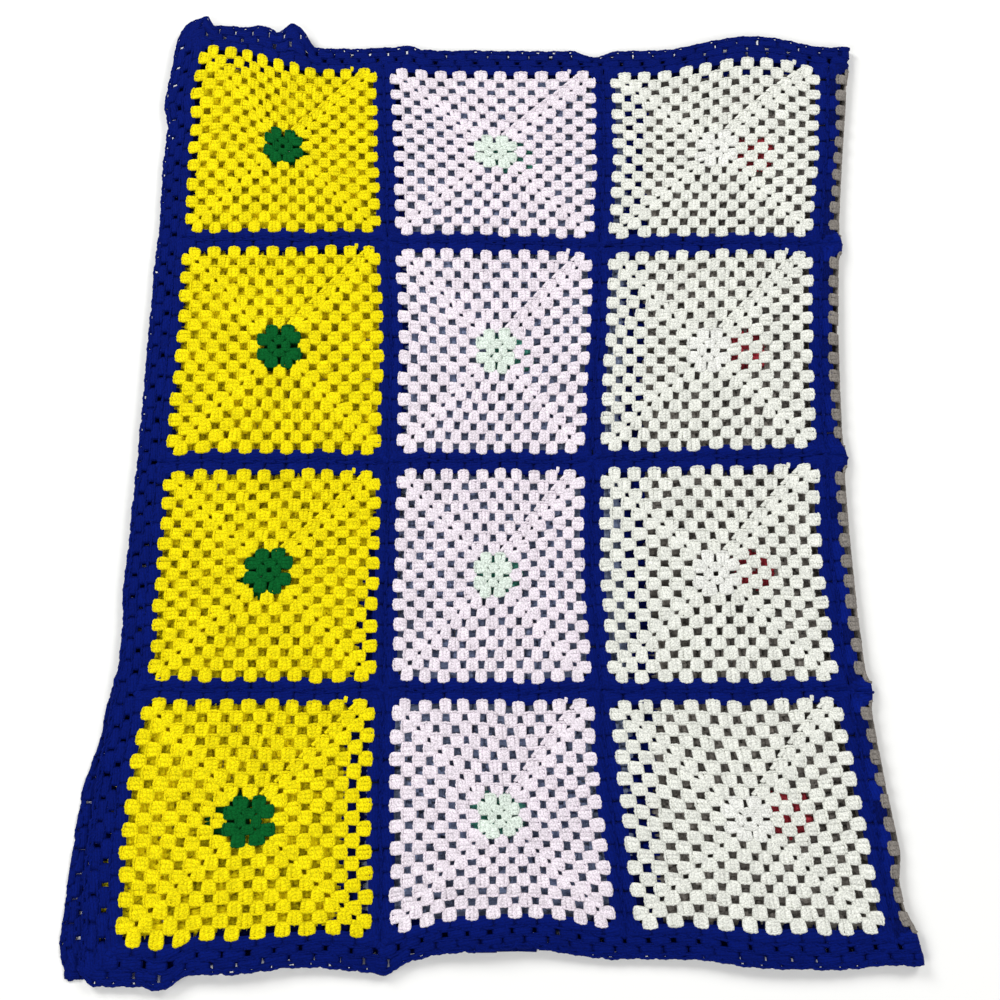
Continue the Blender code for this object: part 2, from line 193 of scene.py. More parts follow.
def through(stations, values, at):
    """The smooth curve through values at the stations, read at the places in at. Where values holds a row for
    each place, each place is read on its own curve."""
    stations = np.asarray(stations, float)
    values = np.asarray(values, float)
    steps = np.diff(stations)
    slopes = np.diff(values) / steps
    inner = (slopes[..., :-1] * steps[1:] + slopes[..., 1:] * steps[:-1]) / (steps[1:] + steps[:-1])
    tangents = np.concatenate([slopes[..., :1], inner, slopes[..., -1:]], axis=-1)
    k = np.clip(np.searchsorted(stations, at, side="right") - 1, 0, len(steps) - 1)
    t = (at - stations[k]) / steps[k]
    rows = (np.arange(len(k)), k) if values.ndim == 2 else (k,)
    ends = (rows[0], k + 1) if values.ndim == 2 else (k + 1,)
    out, into = tangents[rows] * steps[k], tangents[ends] * steps[k]
    return (
        values[rows] * (2 * t**3 - 3 * t**2 + 1)
        + out * (t**3 - 2 * t**2 + t)
        + values[ends] * (3 * t**2 - 2 * t**3)
        + into * (t**3 - t**2)
    )


def lie(u, v, columns, stations):
    """x and y of flat places on one layer, from columns of LINES and the u stations at which they stand."""
    heights = [line.v for line in LINES]
    found = []
    for axis in (0, 1):
        crossings = [through(heights, [getattr(line, c)[axis] for line in LINES], v) for c in columns]
        found.append(through(stations, np.stack(crossings, axis=1), u))
    return found


def cloth_middle(u, v):
    """The middle of the cloth's thickness, folded and laid, at flat places u, v."""
    turn_in, turn_out = FOLD_U - TURN / 2, FOLD_U + TURN / 2
    upper = lie(
        u, v, ("left", "seam_1_2", "seam_2_3", "seam_3_4", "fold"),
        (0, EDGING + SQUARE, EDGING + 2 * SQUARE, EDGING + 3 * SQUARE, turn_in + FOLD_RADIUS),
    )
    under = lie(
        u, v, ("fold", "seam_4_5", "seam_5_6", "end"),
        (turn_out - FOLD_RADIUS, EDGING + 4 * SQUARE, EDGING + 5 * SQUARE, WIDTH),
    )
    fold = lie(np.zeros_like(u), v, ("fold", "fold"), (0, 1))
    for slack in SLACKS:
        du = abs(u - EDGING - (slack.column - 0.5) * SQUARE)
        dv = abs(v - EDGING - (ROWS - slack.row + 0.5) * SQUARE)
        half = SQUARE / 2 - (TURN_CLEARANCE if slack.column == UPPER_COLUMNS + 1 else 0)
        loose = fade(1 - du / half) * fade(1 - dv / (SQUARE / 2))
        layer = under if slack.column > UPPER_COLUMNS else upper
        layer[0] = layer[0] + slack.across * loose
        layer[1] = layer[1] + slack.up * loose

    flat_on = 1 - fade((u - turn_in + FOLD_RISE) / FOLD_RISE)
    x, y = upper
    knob = np.zeros_like(u)
    for wave in WAVES:
        along, inward = {
            "top": (u, HEIGHT - v), "bottom": (u, v), "left": (v, u), "end": (v, WIDTH - u),
            "fold": (v, abs(u - FOLD_U)),
        }[wave.edge]
        push = wave.out * fade((wave.half - abs(along - wave.centre)) / wave.soft)
        push = push * fade(1 - inward / wave.reach)
        if wave.edge == "fold":
            knob += push
        elif wave.edge == "end":
            under[0] = under[0] - push
        elif wave.edge == "left":
            x = x - push * flat_on
        else:
            y = y + push * flat_on * (1 if wave.edge == "top" else -1)

    z = np.full_like(u, UPPER_Z)
    for ridge in RIDGES:
        turned = math.radians(ridge.lie)
        du, dv = u - ridge.u, v - ridge.v
        along = (du * math.cos(turned) + dv * math.sin(turned)) / ridge.half_length
        across = (dv * math.cos(turned) - du * math.sin(turned)) / ridge.half_width
        z += ridge.height * np.exp(-along**2 - across**2)
    z += (UNDER_Z + 2 * FOLD_RADIUS - z) * (1 - flat_on)

    angle = np.clip((u - turn_in) / FOLD_RADIUS, 0, math.pi)
    turning = (u > turn_in) & (u < turn_out)
    beneath = u >= turn_out
    x = np.where(turning, fold[0] - FOLD_RADIUS * (1 - np.sin(angle)), np.where(beneath, under[0], x))
    y = np.where(turning, fold[1], np.where(beneath, under[1], y))
    z = np.where(turning, UNDER_Z + FOLD_RADIUS * (1 + np.cos(angle)), np.where(beneath, UNDER_Z, z))
    return np.stack([x + knob - MIDDLE_X, y - MIDDLE_Y, z], axis=-1)


def fold_blanket(flat):
    """Carries points of the flat blanket, as rows of u, v and w, to where they lie in the folded cloth."""
    u, v, w = np.asarray(flat, float).T
    inside = fade(u / STEADY_EDGE) * fade((WIDTH - u) / STEADY_EDGE)
    inside = inside * fade(v / STEADY_EDGE) * fade((HEIGHT - v) / STEADY_EDGE)
    for wander in WANDERS:
        swing = np.sin(2 * math.pi * (u / wander.wave_u + v / wander.wave_v) + wander.phase) * inside
        u = u + wander.sideways * swing
        v = v + wander.upwards * swing
    step = 0.0005  # half the flat distance over which the cloth's slopes are taken
    across = cloth_middle(u + step, v) - cloth_middle(u - step, v)
    up = cloth_middle(u, v + step) - cloth_middle(u, v - step)
    outward = np.cross(across, up)
    outward /= np.linalg.norm(outward, axis=1, keepdims=True)
    outward[u >= FOLD_U + TURN / 2] = (0, 0, -1)
    laid = cloth_middle(u, v) + outward * w[:, None]
    laid[:, 2] = np.maximum(laid[:, 2], 0)
    return laid


# ---- Yarn: soft four-ply acrylic of worsted weight. Its plies wind round each strand, strands cross the posts of the stitches, and a light fuzz catches the light. Painted shade darkens the creases between the strands.

# Each yarn's own colour, and a darker crease colour that is painted shade in the creases between its strands.
Yarn = namedtuple("Yarn", "slot colour crease")
YARNS = {
    "yellow": Yarn("bright_yellow", (0.910, 0.775, 0.004), (0.740, 0.520, 0.002)),
    "pink": Yarn("pale_pink", (0.900, 0.820, 0.890), (0.760, 0.660, 0.740)),
    "cream": Yarn("cream_white", (0.840, 0.850, 0.785), (0.700, 0.705, 0.630)),
    "grey": Yarn("warm_grey", (0.260, 0.238, 0.216), (0.180, 0.162, 0.144)),
    "slate": Yarn("slate_blue", (0.230, 0.280, 0.430), (0.160, 0.190, 0.310)),
    "blue": Yarn("royal_blue", (0.001, 0.008, 0.140), (0.001, 0.004, 0.080)),
    "green": Yarn("bright_yellow", (0.002, 0.105, 0.020), (0.001, 0.070, 0.012)),
    "mint": Yarn("pale_pink", (0.780, 0.870, 0.790), (0.640, 0.750, 0.650)),
    "white": Yarn("cream_white", (0.870, 0.875, 0.830), (0.730, 0.735, 0.680)),
    "red": Yarn("warm_grey", (0.520, 0.050, 0.070), (0.380, 0.030, 0.045)),
    "teal": Yarn("slate_blue", (0.110, 0.460, 0.350), (0.070, 0.330, 0.250)),
}


def add_node(tree, kind, inputs=None, **settings):
    """Adds a node with those settings. Each input, by name or number, gets an output or a plain value."""
    node = tree.nodes.new(kind)
    for key, value in settings.items():
        setattr(node, key, value)
    for key, value in (inputs or {}).items():
        if isinstance(value, bpy.types.NodeSocket):
            tree.links.new(value, node.inputs[key])
        else:
            node.inputs[key].default_value = value
    return node


# Two strands start round a post and three plies round a strand, twisted the other way. A power below 1 makes
# the strands full and the creases between them narrow. The crease's painted shade reaches so far up a strand,
# and the plies and the fuzz are so deep beside it.
STRAND_STARTS = 2.0
PLY_STARTS = 3.0
STRAND_POWER = 0.6
CREASE_SHADE_REACH = 0.6
PLY_DEPTH = 0.14
FUZZ_DEPTH = 0.30
FUZZ_SCALE = 520.0
FUZZ_RANGE = (0.36, 0.62)
PATCH_SCALE = 14.0
BUMP_STRENGTH = 0.9

# How bright the yarn's colour is at the least, and what a stitch's random tint (with the painted shade of the
# under layer's plain shells), wide patches and the fuzz add to it.
LEAST_BRIGHT = 0.62
TINT_AND_SHADE_ADDS = 0.14
PATCHES_ADD = 0.10
FUZZ_ADDS = 0.36


def plied_yarn_group():
    """The shared look of the yarns: colour and bump from the strands, their plies and the fuzz, with painted
    shade in the creases between the strands.
    """
    tree = bpy.data.node_groups.new("plied yarn", "ShaderNodeTree")
    for name, kind, value in (
        ("Colour", "NodeSocketColor", (0.8, 0.8, 0.8, 1)),
        ("Crease", "NodeSocketColor", (0.4, 0.4, 0.4, 1)),
        ("Strands per cm", "NodeSocketFloat", 2.4),
        ("Plies per cm", "NodeSocketFloat", 6.5),
        ("Depth", "NodeSocketFloat", 0.0005),
    ):
        tree.interface.new_socket(name, in_out="INPUT", socket_type=kind).default_value = value
    tree.interface.new_socket("Colour", in_out="OUTPUT", socket_type="NodeSocketColor")
    tree.interface.new_socket("Normal", in_out="OUTPUT", socket_type="NodeSocketVector")
    given = add_node(tree, "NodeGroupInput")

    def math_node(operation, a, b=0.0, c=0.0):
        return add_node(tree, "ShaderNodeMath", {0: a, 1: b, 2: c}, operation=operation).outputs[0]

    strand = add_node(tree, "ShaderNodeUVMap", uv_map="strand")
    parts = add_node(tree, "ShaderNodeSeparateXYZ", {0: strand.outputs[0]})
    around, along = parts.outputs[0], parts.outputs[1]
    winding = math_node("MULTIPLY", around, STRAND_STARTS)
    winding = math_node("MULTIPLY_ADD", along, given.outputs["Strands per cm"], winding)
    strands = math_node("ABSOLUTE", math_node("SINE", math_node("MULTIPLY", winding, math.pi)))
    strands = math_node("POWER", strands, STRAND_POWER)
    laid_up = math_node("MULTIPLY", along, given.outputs["Plies per cm"])
    laid_up = math_node("MULTIPLY_ADD", around, -PLY_STARTS, laid_up)
    plies = math_node("SINE", math_node("MULTIPLY", laid_up, 2 * math.pi))

    place = add_node(tree, "ShaderNodeTexCoord").outputs["Object"]

    def noise(scale):
        return add_node(
            tree, "ShaderNodeTexNoise", {"Vector": place, "Scale": scale, "Detail": 2.0}
        ).outputs[0]

    def stretched(value, low, high):
        return add_node(
            tree, "ShaderNodeMapRange", {"Value": value, "From Min": low, "From Max": high}
        ).outputs[0]

    fuzz = stretched(noise(FUZZ_SCALE), *FUZZ_RANGE)
    height = math_node("MULTIPLY_ADD", fuzz, FUZZ_DEPTH, strands)
    height = math_node("MULTIPLY_ADD", plies, PLY_DEPTH, height)
    bump = add_node(tree, "ShaderNodeBump", {
        "Strength": BUMP_STRENGTH, "Distance": given.outputs["Depth"], "Height": height,
    })
    # Painted shade: the crease colour darkens the yarn where its strands meet.
    colour = add_node(tree, "ShaderNodeMix", {
        "Factor": stretched(strands, 0.0, CREASE_SHADE_REACH),
        6: given.outputs["Crease"], 7: given.outputs["Colour"],
    }, data_type="RGBA").outputs[2]
    tint = add_node(tree, "ShaderNodeAttribute", attribute_name="tint").outputs["Fac"]
    bright = math_node("MULTIPLY_ADD", tint, TINT_AND_SHADE_ADDS, LEAST_BRIGHT)
    bright = math_node("MULTIPLY_ADD", noise(PATCH_SCALE), PATCHES_ADD, bright)
    bright = math_node("MULTIPLY_ADD", fuzz, FUZZ_ADDS, bright)
    shaded = add_node(
        tree, "ShaderNodeVectorMath", {0: colour, "Scale": bright}, operation="SCALE"
    ).outputs[0]
    add_node(tree, "NodeGroupOutput", {"Colour": shaded, "Normal": bump.outputs[0]})
    return tree


PLIED_YARN = plied_yarn_group()


def yarn_material(name):
    """The finish of one yarn: the shared plied look in its own colours, with a soft sheen."""
    found = bpy.data.materials.get(f"{name} yarn")
    if found:
        return found
    material = bpy.data.materials.new(f"{name} yarn")
    material.use_nodes = True
    tree = material.node_tree
    shader = tree.nodes["Principled BSDF"]
    look = add_node(tree, "ShaderNodeGroup", node_tree=PLIED_YARN)
    look.inputs["Colour"].default_value = (*YARNS[name].colour, 1)
    look.inputs["Crease"].default_value = (*YARNS[name].crease, 1)
    tree.links.new(look.outputs["Colour"], shader.inputs["Base Color"])
    tree.links.new(look.outputs["Normal"], shader.inputs["Normal"])
    shader.inputs["Roughness"].default_value = 0.9
    shader.inputs["Specular IOR Level"].default_value = 0.06
    shader.inputs["Sheen Weight"].default_value = 0.15
    shader.inputs["Sheen Roughness"].default_value = 0.5
    shader.inputs["Sheen Tint"].default_value = (*YARNS[name].colour, 1)
    return material


# ---- Granny squares: crocheted from the centre out in rounds of shells, three tall stitches each, worked
# into the gaps of the round before. Two rounds are in the centre's yarn, eight in the column's and the last
# in blue.

ROUNDS = 11
CENTRE_ROUNDS = 2
ROUND_HEIGHT = 0.014

# The two shells that share a corner gap lean back from it by ease. Their feet stand back by shift, reach
# deeper by reach, and their gaps are so much of the others'.
CORNER_EASE = 0.0035
CORNER_SHIFT = 0.0010
CORNER_REACH = 0.0015
CORNER_CLOSENESS = 0.75

# The first round is worked into a small ring of yarn: its radius, and the gaps between the feet in it.
FIRST_RING = 0.0030
FIRST_FOOT_GAP = 0.0019

CROWN = 0.0008  # the middle post of a shell stands this much higher, and the outer two this much lower
BRAID_INSET = 0.0026  # how much shorter than its shell a length of braid is
BRAID_LAP = 0.001  # how far the lengths of a running braid lap
UNEVEN_PITCH = 0.0006
UNEVEN_HEIGHT = 0.0004

# How a round is worked: its height, how far the feet of its shells reach below it, how much of the pitch a
# shell fills, how wide its three posts are, and the gaps between their feet and between their tips. Where
# posts is 0, they lie so close that a shell is one plain form. Braid tops each shell, and in a closed round
# it runs on over the gaps.
Work = namedtuple("Work", "name height foot_drop fill posts foot_gap tip_gap closed")
OPEN_SHELLS = Work("open shells", ROUND_HEIGHT, 0.0030, 1.03, 1.08, 0.0047, 0.0058, False)
JOINING_SHELLS = Work("joining shells", 0.0116, 0.0045, 1.05, 0, 0, 0, True)

# Single posts beside the last shell at a square's upper right corner: the slanted chain by which the yarn
# climbs from one round to the next, and its end, which stands up where it is fastened off. They are placed
# from the middle of that shell, and from the foot of the round or from its top.
Slant = namedtuple("Slant", "from_top foot_x foot_y tip_x tip_y wide")
CLIMBING_CHAIN = Slant(False, -0.0130, 0.0025, -0.0025, 0.0112, 0.85)
YARN_END = Slant(True, -0.0185, -0.0030, -0.0175, 0.0050, 0.90)

# One more post fills each corner of a closed round, along the diagonal from this far inside.
CORNER_POST_INSET = 0.004
CORNER_POST_WIDE = 1.4

# The templates: cross sections on a unit square, and rings along the yarn. A post and a length of braid are
# yarn. A plain shell stands for the three posts of a shell where the cloth is hidden but for what shows
# through the gaps.
POST_OUTLINE = [(0, -0.65), (0.98, -0.25), (0.72, 0.80), (-0.72, 0.80), (-0.98, -0.25)]
BRAID_OUTLINE = [(0, -1), (1, 0), (0, 1), (-1, 0)]
SHELL_OUTLINE = [
    (-0.66, -1), (-0.33, -0.55), (0, -1), (0.33, -0.55), (0.66, -1), (1, -0.1),
    (0.72, 0.85), (0.33, 0.72), (0, 0.95), (-0.33, 0.72), (-0.72, 0.85), (-1, -0.1),
]
POST_LENGTH = 0.016
POST_WIDTH = 0.0068
BRAID_LENGTH = 0.017
SHELL_WIDTH = 0.0216
Ring = namedtuple("Ring", "at half_wide half_deep lift")
POST_RINGS = [
    Ring(0.00, 0.0027, 0.0011, -0.0003),
    Ring(0.20, 0.0031, 0.0016, 0.0000),
    Ring(0.48, 0.0033, 0.0019, 0.0003),
    Ring(0.80, 0.0034, 0.0018, 0.0004),
    Ring(1.00, 0.0028, 0.0012, 0.0001),
]
BRAID_RINGS = [
    Ring(0.00, 0.0010, 0.0010, 0.0009),
    Ring(0.17, 0.0020, 0.0018, 0.0011),
    Ring(0.34, 0.0014, 0.0014, 0.0011),
    Ring(0.50, 0.0021, 0.0019, 0.0013),
    Ring(0.66, 0.0014, 0.0014, 0.0011),
    Ring(0.83, 0.0020, 0.0018, 0.0011),
    Ring(1.00, 0.0010, 0.0010, 0.0009),
]
SHELL_RINGS = [
    Ring(0.00, 0.0095, 0.0011, -0.0005),
    Ring(0.45, 0.0108, 0.0020, 0.0000),
    Ring(1.04, 0.0104, 0.0015, 0.0000),
]
BRAID_SAG = 0.0014  # how much lower the ends of a length of braid hang than its middle
POST, BRAID, PLAIN_SHELL = range(3)
Stitch = namedtuple("Stitch", "x y turn wide long kind round")


def strand_object(name, outline, rings, length, along_x=False, sag=0.0):
    """A short closed length of yarn along +Y, or centred along X, with that outline at every ring. Its UV map
    counts turns round it and centimetres along it."""
    points, faces, strand = [], [], []
    sides = len(outline)
    centimetres = [ring.at * length * 100 for ring in rings]
    for ring in rings:
        run = ring.at * length
        for across, out in outline:
            wide, deep = ring.half_wide * across, ring.half_deep * out + ring.lift
            if along_x:
                bow = -sag * (2 * ring.at - 1) ** 2
                points.append((run - length / 2, bow - wide, deep))
            else:
                points.append((wide, run, deep))
    for k in range(len(rings) - 1):
        low, high = centimetres[k], centimetres[k + 1]
        for side in range(sides):
            here, above = k * sides, (k + 1) * sides
            after = (side + 1) % sides
            faces.append([here + side, above + side, above + after, here + after])
            left, right = side / sides, (side + 1) / sides
            strand += [(left, low), (left, high), (right, high), (right, low)]
    for k in (0, len(rings) - 1):
        cap = [k * sides + side for side in range(sides)]
        faces.append(cap if k == 0 else cap[::-1])
        strand += [(0.0, centimetres[k])] * sides
    mesh = bpy.data.meshes.new(name)
    mesh.from_pydata(points, [], faces)
    mesh.uv_layers.new(name="strand").data.foreach_set("uv", np.array(strand, np.float32).ravel())
    mesh.shade_smooth()
    made = bpy.data.objects.new(name, mesh)
    bpy.context.scene.collection.objects.link(made)
    return made


def work_round(work, number, half_across, half_up, across, up, chance, seen, slants=()):
    """The stitches of one round, worked outwards from a rectangle with those half sides. across and up are
    its shells a side, the outer two of which share the corner gaps. seen tells whether a place of the round
    shows, and slants are its single posts."""
    made = []
    for quarter in range(4):
        half, start, count = half_across, half_up, across
        if quarter % 2:
            half, start, count = half_up, half_across, up
        turned = quarter * math.pi / 2

        def turned_place(x, y):
            return (
                x * math.cos(turned) - y * math.sin(turned),
                x * math.sin(turned) + y * math.cos(turned),
            )

        def place(x, y, turn, wide, long, kind):
            made.append(Stitch(*turned_place(x, y), turn + turned, wide, long, kind, number))

        def post(foot_x, foot_y, tip_x, tip_y, wide, kind=POST):
            reach = math.hypot(tip_x - foot_x, tip_y - foot_y)
            lean = math.atan2(foot_x - tip_x, tip_y - foot_y)
            place(foot_x, foot_y, lean, wide, reach / POST_LENGTH, kind)

        span = half - CORNER_EASE if count > 1 else 0.0
        pitch = 2 * span / (count - 1) if count > 1 else 2 * ROUND_HEIGHT
        for j in range(count):
            last = j == count - 1
            centre = j * pitch - span + chance.gauss(0, UNEVEN_PITCH)
            tip_y = start + work.height + chance.gauss(0, UNEVEN_HEIGHT)
            corner = 0 if count == 1 else last - (j == 0)
            foot_centre = centre - CORNER_SHIFT * corner
            foot_y = start - work.foot_drop - (CORNER_REACH if corner else 0.0)
            foot_gap = work.foot_gap * (CORNER_CLOSENESS if corner else 1.0)
            if number == 1:
                foot_gap, foot_y = FIRST_FOOT_GAP, FIRST_RING
            shown = seen(*turned_place(centre, start))
            if shown and work.posts:
                tip_wide = 2 * work.tip_gap + POST_WIDTH * work.posts
                for k in (-1, 0, 1):
                    foot_x, tip_x = foot_centre + k * foot_gap, centre + k * work.tip_gap
                    post(foot_x, foot_y, tip_x, tip_y + (-CROWN if k else CROWN), work.posts)
            else:
                tip_wide = work.fill * pitch
                post(foot_centre, foot_y, centre, tip_y, tip_wide / SHELL_WIDTH, PLAIN_SHELL)
            if not shown:
                continue
            if not work.closed:
                place(centre, tip_y, 0.0, (tip_wide - BRAID_INSET) / BRAID_LENGTH, 1.0, BRAID)
            elif not last:
                place(centre + pitch / 2, tip_y, 0.0, (pitch + BRAID_LAP) / BRAID_LENGTH, 1.0, BRAID)
            else:
                inner, outer = -CORNER_POST_INSET, work.height
                post(half + inner, start + inner, half + outer, start + outer, CORNER_POST_WIDE)
            if quarter == 0 and last:
                for slant in slants:
                    level = tip_y if slant.from_top else start
                    post(
                        centre + slant.foot_x, level + slant.foot_y,
                        centre + slant.tip_x, level + slant.tip_y, slant.wide,
                    )
    return made


def stitch_tree():
    """Geometry Nodes that set a post, a length of braid or a plain shell at each stitch, a little unevenly,
    as a hand would."""
    tree = bpy.data.node_groups.new("worked stitches", "GeometryNodeTree")
    for name, kind, value in (
        ("Geometry", "NodeSocketGeometry", None),
        ("Post", "NodeSocketObject", None),
        ("Plain shell", "NodeSocketObject", None),
        ("Braid", "NodeSocketObject", None),
        ("Loose turn", "NodeSocketFloat", 0.05),
        ("Loose size", "NodeSocketFloat", 0.07),
        ("Uneven shade", "NodeSocketFloat", 0.0),
        ("Seed", "NodeSocketInt", 0),
        ("Centre rounds", "NodeSocketInt", CENTRE_ROUNDS),
        ("Last round", "NodeSocketInt", ROUNDS),
        ("Centre yarn", "NodeSocketMaterial", None),
        ("Column yarn", "NodeSocketMaterial", None),
        ("Joining yarn", "NodeSocketMaterial", None),
    ):
        socket = tree.interface.new_socket(name, in_out="INPUT", socket_type=kind)
        if value is not None:
            socket.default_value = value
    tree.interface.new_socket("Geometry", in_out="OUTPUT", socket_type="NodeSocketGeometry")
    given = add_node(tree, "NodeGroupInput").outputs

    def stored(name, kind):
        return add_node(tree, "GeometryNodeInputNamedAttribute", {"Name": name}, data_type=kind).outputs[0]

    def math_node(operation, a, b):
        return add_node(tree, "ShaderNodeMath", {0: a, 1: b}, operation=operation).outputs[0]

    def spread(amount, seed_step):
        seed = math_node("ADD", given["Seed"], float(seed_step))
        either_way = add_node(tree, "FunctionNodeRandomValue", {2: -1.0, 3: 1.0, "Seed": seed}).outputs[1]
        return math_node("MULTIPLY", either_way, amount)

    def compared(a, operation, b):
        return add_node(
            tree, "FunctionNodeCompare", {2: a, 3: b}, data_type="INT", operation=operation
        ).outputs[0]

    def of_kind(kind):
        return compared(stored("kind", "INT"), "EQUAL", kind)

    turn = math_node("ADD", stored("turn", "FLOAT"), spread(given["Loose turn"], 1))
    tilt = spread(given["Loose turn"], 2)
    angles = add_node(tree, "ShaderNodeCombineXYZ", {0: 0.0, 1: tilt, 2: turn}).outputs[0]
    rotation = add_node(tree, "FunctionNodeEulerToRotation", {0: angles}).outputs[0]
    swell = math_node("ADD", spread(given["Loose size"], 3), 1.0)
    scale = add_node(tree, "ShaderNodeVectorMath", {
        0: stored("stretch", "FLOAT_VECTOR"), "Scale": swell,
    }, operation="SCALE").outputs[0]

    # A stitch's random tint lies between 0 and 1, and a plain shell's may go further by the painted shade
    # spread: painted shade, darker and lighter, in the gaps of the upper layer.
    painted_shade = math_node("MULTIPLY", of_kind(PLAIN_SHELL), given["Uneven shade"])
    tint = math_node("ADD", spread(math_node("ADD", painted_shade, 0.5), 4), 0.5)

    joined = add_node(tree, "GeometryNodeJoinGeometry")
    for kind, template in ((POST, "Post"), (BRAID, "Braid"), (PLAIN_SHELL, "Plain shell")):
        form = add_node(tree, "GeometryNodeObjectInfo", {"Object": given[template], "As Instance": True})
        placed = add_node(tree, "GeometryNodeInstanceOnPoints", {
            "Points": given["Geometry"], "Selection": of_kind(kind),
            "Instance": form.outputs["Geometry"], "Rotation": rotation, "Scale": scale,
        })
        tree.links.new(placed.outputs[0], joined.inputs[0])
    tinted = add_node(tree, "GeometryNodeStoreNamedAttribute", {
        "Geometry": joined.outputs[0], "Name": "tint", "Value": tint,
    }, data_type="FLOAT", domain="INSTANCE").outputs[0]
    whole = add_node(tree, "GeometryNodeRealizeInstances", {0: tinted}).outputs[0]
    number = stored("round", "INT")
    for yarn, rounds in (
        ("Column yarn", True),
        ("Centre yarn", compared(number, "LESS_EQUAL", given["Centre rounds"])),
        ("Joining yarn", compared(number, "GREATER_EQUAL", given["Last round"])),
    ):
        whole = add_node(tree, "GeometryNodeSetMaterial", {
            "Geometry": whole, "Selection": rounds, "Material": given[yarn],
        }).outputs[0]
    add_node(tree, "NodeGroupOutput", {0: whole})
    return tree


STITCH_TREE = stitch_tree()
TEMPLATES = {
    "Post": strand_object("post", POST_OUTLINE, POST_RINGS, POST_LENGTH),
    "Braid": strand_object("braid", BRAID_OUTLINE, BRAID_RINGS, BRAID_LENGTH, along_x=True, sag=BRAID_SAG),
    "Plain shell": strand_object("plain_shell", SHELL_OUTLINE, SHELL_RINGS, POST_LENGTH),
}


def work_piece(name, stitches, centre, seed, materials, painted_shade=0.0):
    """Works the stitches round a centre of the flat blanket, carries them to the folded cloth and returns the
    piece as a plain mesh object. Its name is the node that it stands for, and painted_shade how much further
    the tone of its plain shells spreads, as painted shade seen through the gaps of the upper layer."""
    listed = Stitch(*(np.array(values) for values in zip(*stitches)))
    points = bpy.data.meshes.new(name)
    points.from_pydata([(x, y, 0) for x, y in zip(listed.x, listed.y)], [], [])
    stretch = np.stack([listed.wide, listed.long, listed.wide**-0.5], axis=1)  # a wider stitch lies flatter
    attributes = (
        ("turn", "FLOAT", "value", listed.turn), ("kind", "INT", "value", listed.kind),
        ("round", "INT", "value", listed.round), ("stretch", "FLOAT_VECTOR", "vector", stretch.ravel()),
    )
    for label, kind, field, values in attributes:
        points.attributes.new(label, kind, "POINT").data.foreach_set(field, values)
    draft = bpy.data.objects.new(name + "_draft", points)
    bpy.context.scene.collection.objects.link(draft)
    modifier = draft.modifiers.new("stitches", "NODES")
    modifier.node_group = STITCH_TREE
    inputs = {**TEMPLATES, **materials, "Seed": seed, "Uneven shade": painted_shade}
    for item in STITCH_TREE.interface.items_tree:
        if item.in_out == "INPUT" and item.name in inputs:
            modifier[item.identifier] = inputs[item.name]
    evaluated = draft.evaluated_get(bpy.context.evaluated_depsgraph_get())
    mesh = bpy.data.meshes.new_from_object(evaluated)
    bpy.data.objects.remove(draft)
    places = np.empty(len(mesh.vertices) * 3, np.float32)
    mesh.vertices.foreach_get("co", places)
    flat = places.reshape(-1, 3) + (centre[0], centre[1], 0)
    mesh.vertices.foreach_set("co", fold_blanket(flat).astype(np.float32).ravel())
    mesh.update()
    for label, *_ in attributes:
        if label in mesh.attributes:
            mesh.attributes.remove(mesh.attributes[label])
    piece = bpy.data.objects.new(name + "_crochet", mesh)
    bpy.context.scene.collection.objects.link(piece)
    return piece


def work_square(chance, seen):
    """The stitches of one square about its own centre."""
    made = []
    for number in range(1, ROUNDS + 1):
        start = (number - 1) * ROUND_HEIGHT
        work = JOINING_SHELLS if number == ROUNDS else OPEN_SHELLS
        slants = [CLIMBING_CHAIN] if CENTRE_ROUNDS < number < ROUNDS else []
        if number == ROUNDS - 1:
            slants.append(YARN_END)
        made += work_round(work, number, start, start, number, number, chance, seen, slants)
    return made


Column = namedtuple("Column", "main centre")
COLUMN_YARNS = [
    Column("yellow", "green"), Column("pink", "mint"), Column("cream", "white"),
    Column("grey", "red"), Column("slate", "teal"), Column("yellow", "green"),
]

# The stitches are worked in full to a little past the fold, and plainly beyond it. A gap of the upper layer
# shows a shell of the under layer or the shade between two, so the plain shells there get painted shade:
# their tone spreads further, darker and lighter.
SHOWN_PAST_FOLD = 0.006
UNDER_PAINTED_SHADE = 2.5

for row in range(ROWS):
    for column, yarns in enumerate(COLUMN_YARNS):
        node = f"square_r{row + 1}_c{column + 1}"
        centre = (EDGING + (column + 0.5) * SQUARE, EDGING + (ROWS - row - 0.5) * SQUARE)
        seed = 100 * row + column
        stitches = work_square(random.Random(seed), lambda x, y: centre[0] + x < FOLD_U + SHOWN_PAST_FOLD)
        piece = work_piece(
            node, stitches, centre, seed,
            materials={
                "Centre yarn": yarn_material(yarns.centre),
                "Column yarn": yarn_material(yarns.main),
                "Joining yarn": yarn_material("blue"),
            },
            # Painted shade on the under layer's plain shells, for the gaps of the upper layer.
            painted_shade=UNDER_PAINTED_SHADE if column >= UPPER_COLUMNS else 0.0,
        )
        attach(piece, "root")
        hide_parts(node)


# ---- Edging: blue rounds worked round the whole blanket, two of close shells with small gaps between them
# and one of short stitches that makes a firm hem. It turns under with the cloth at the fold.

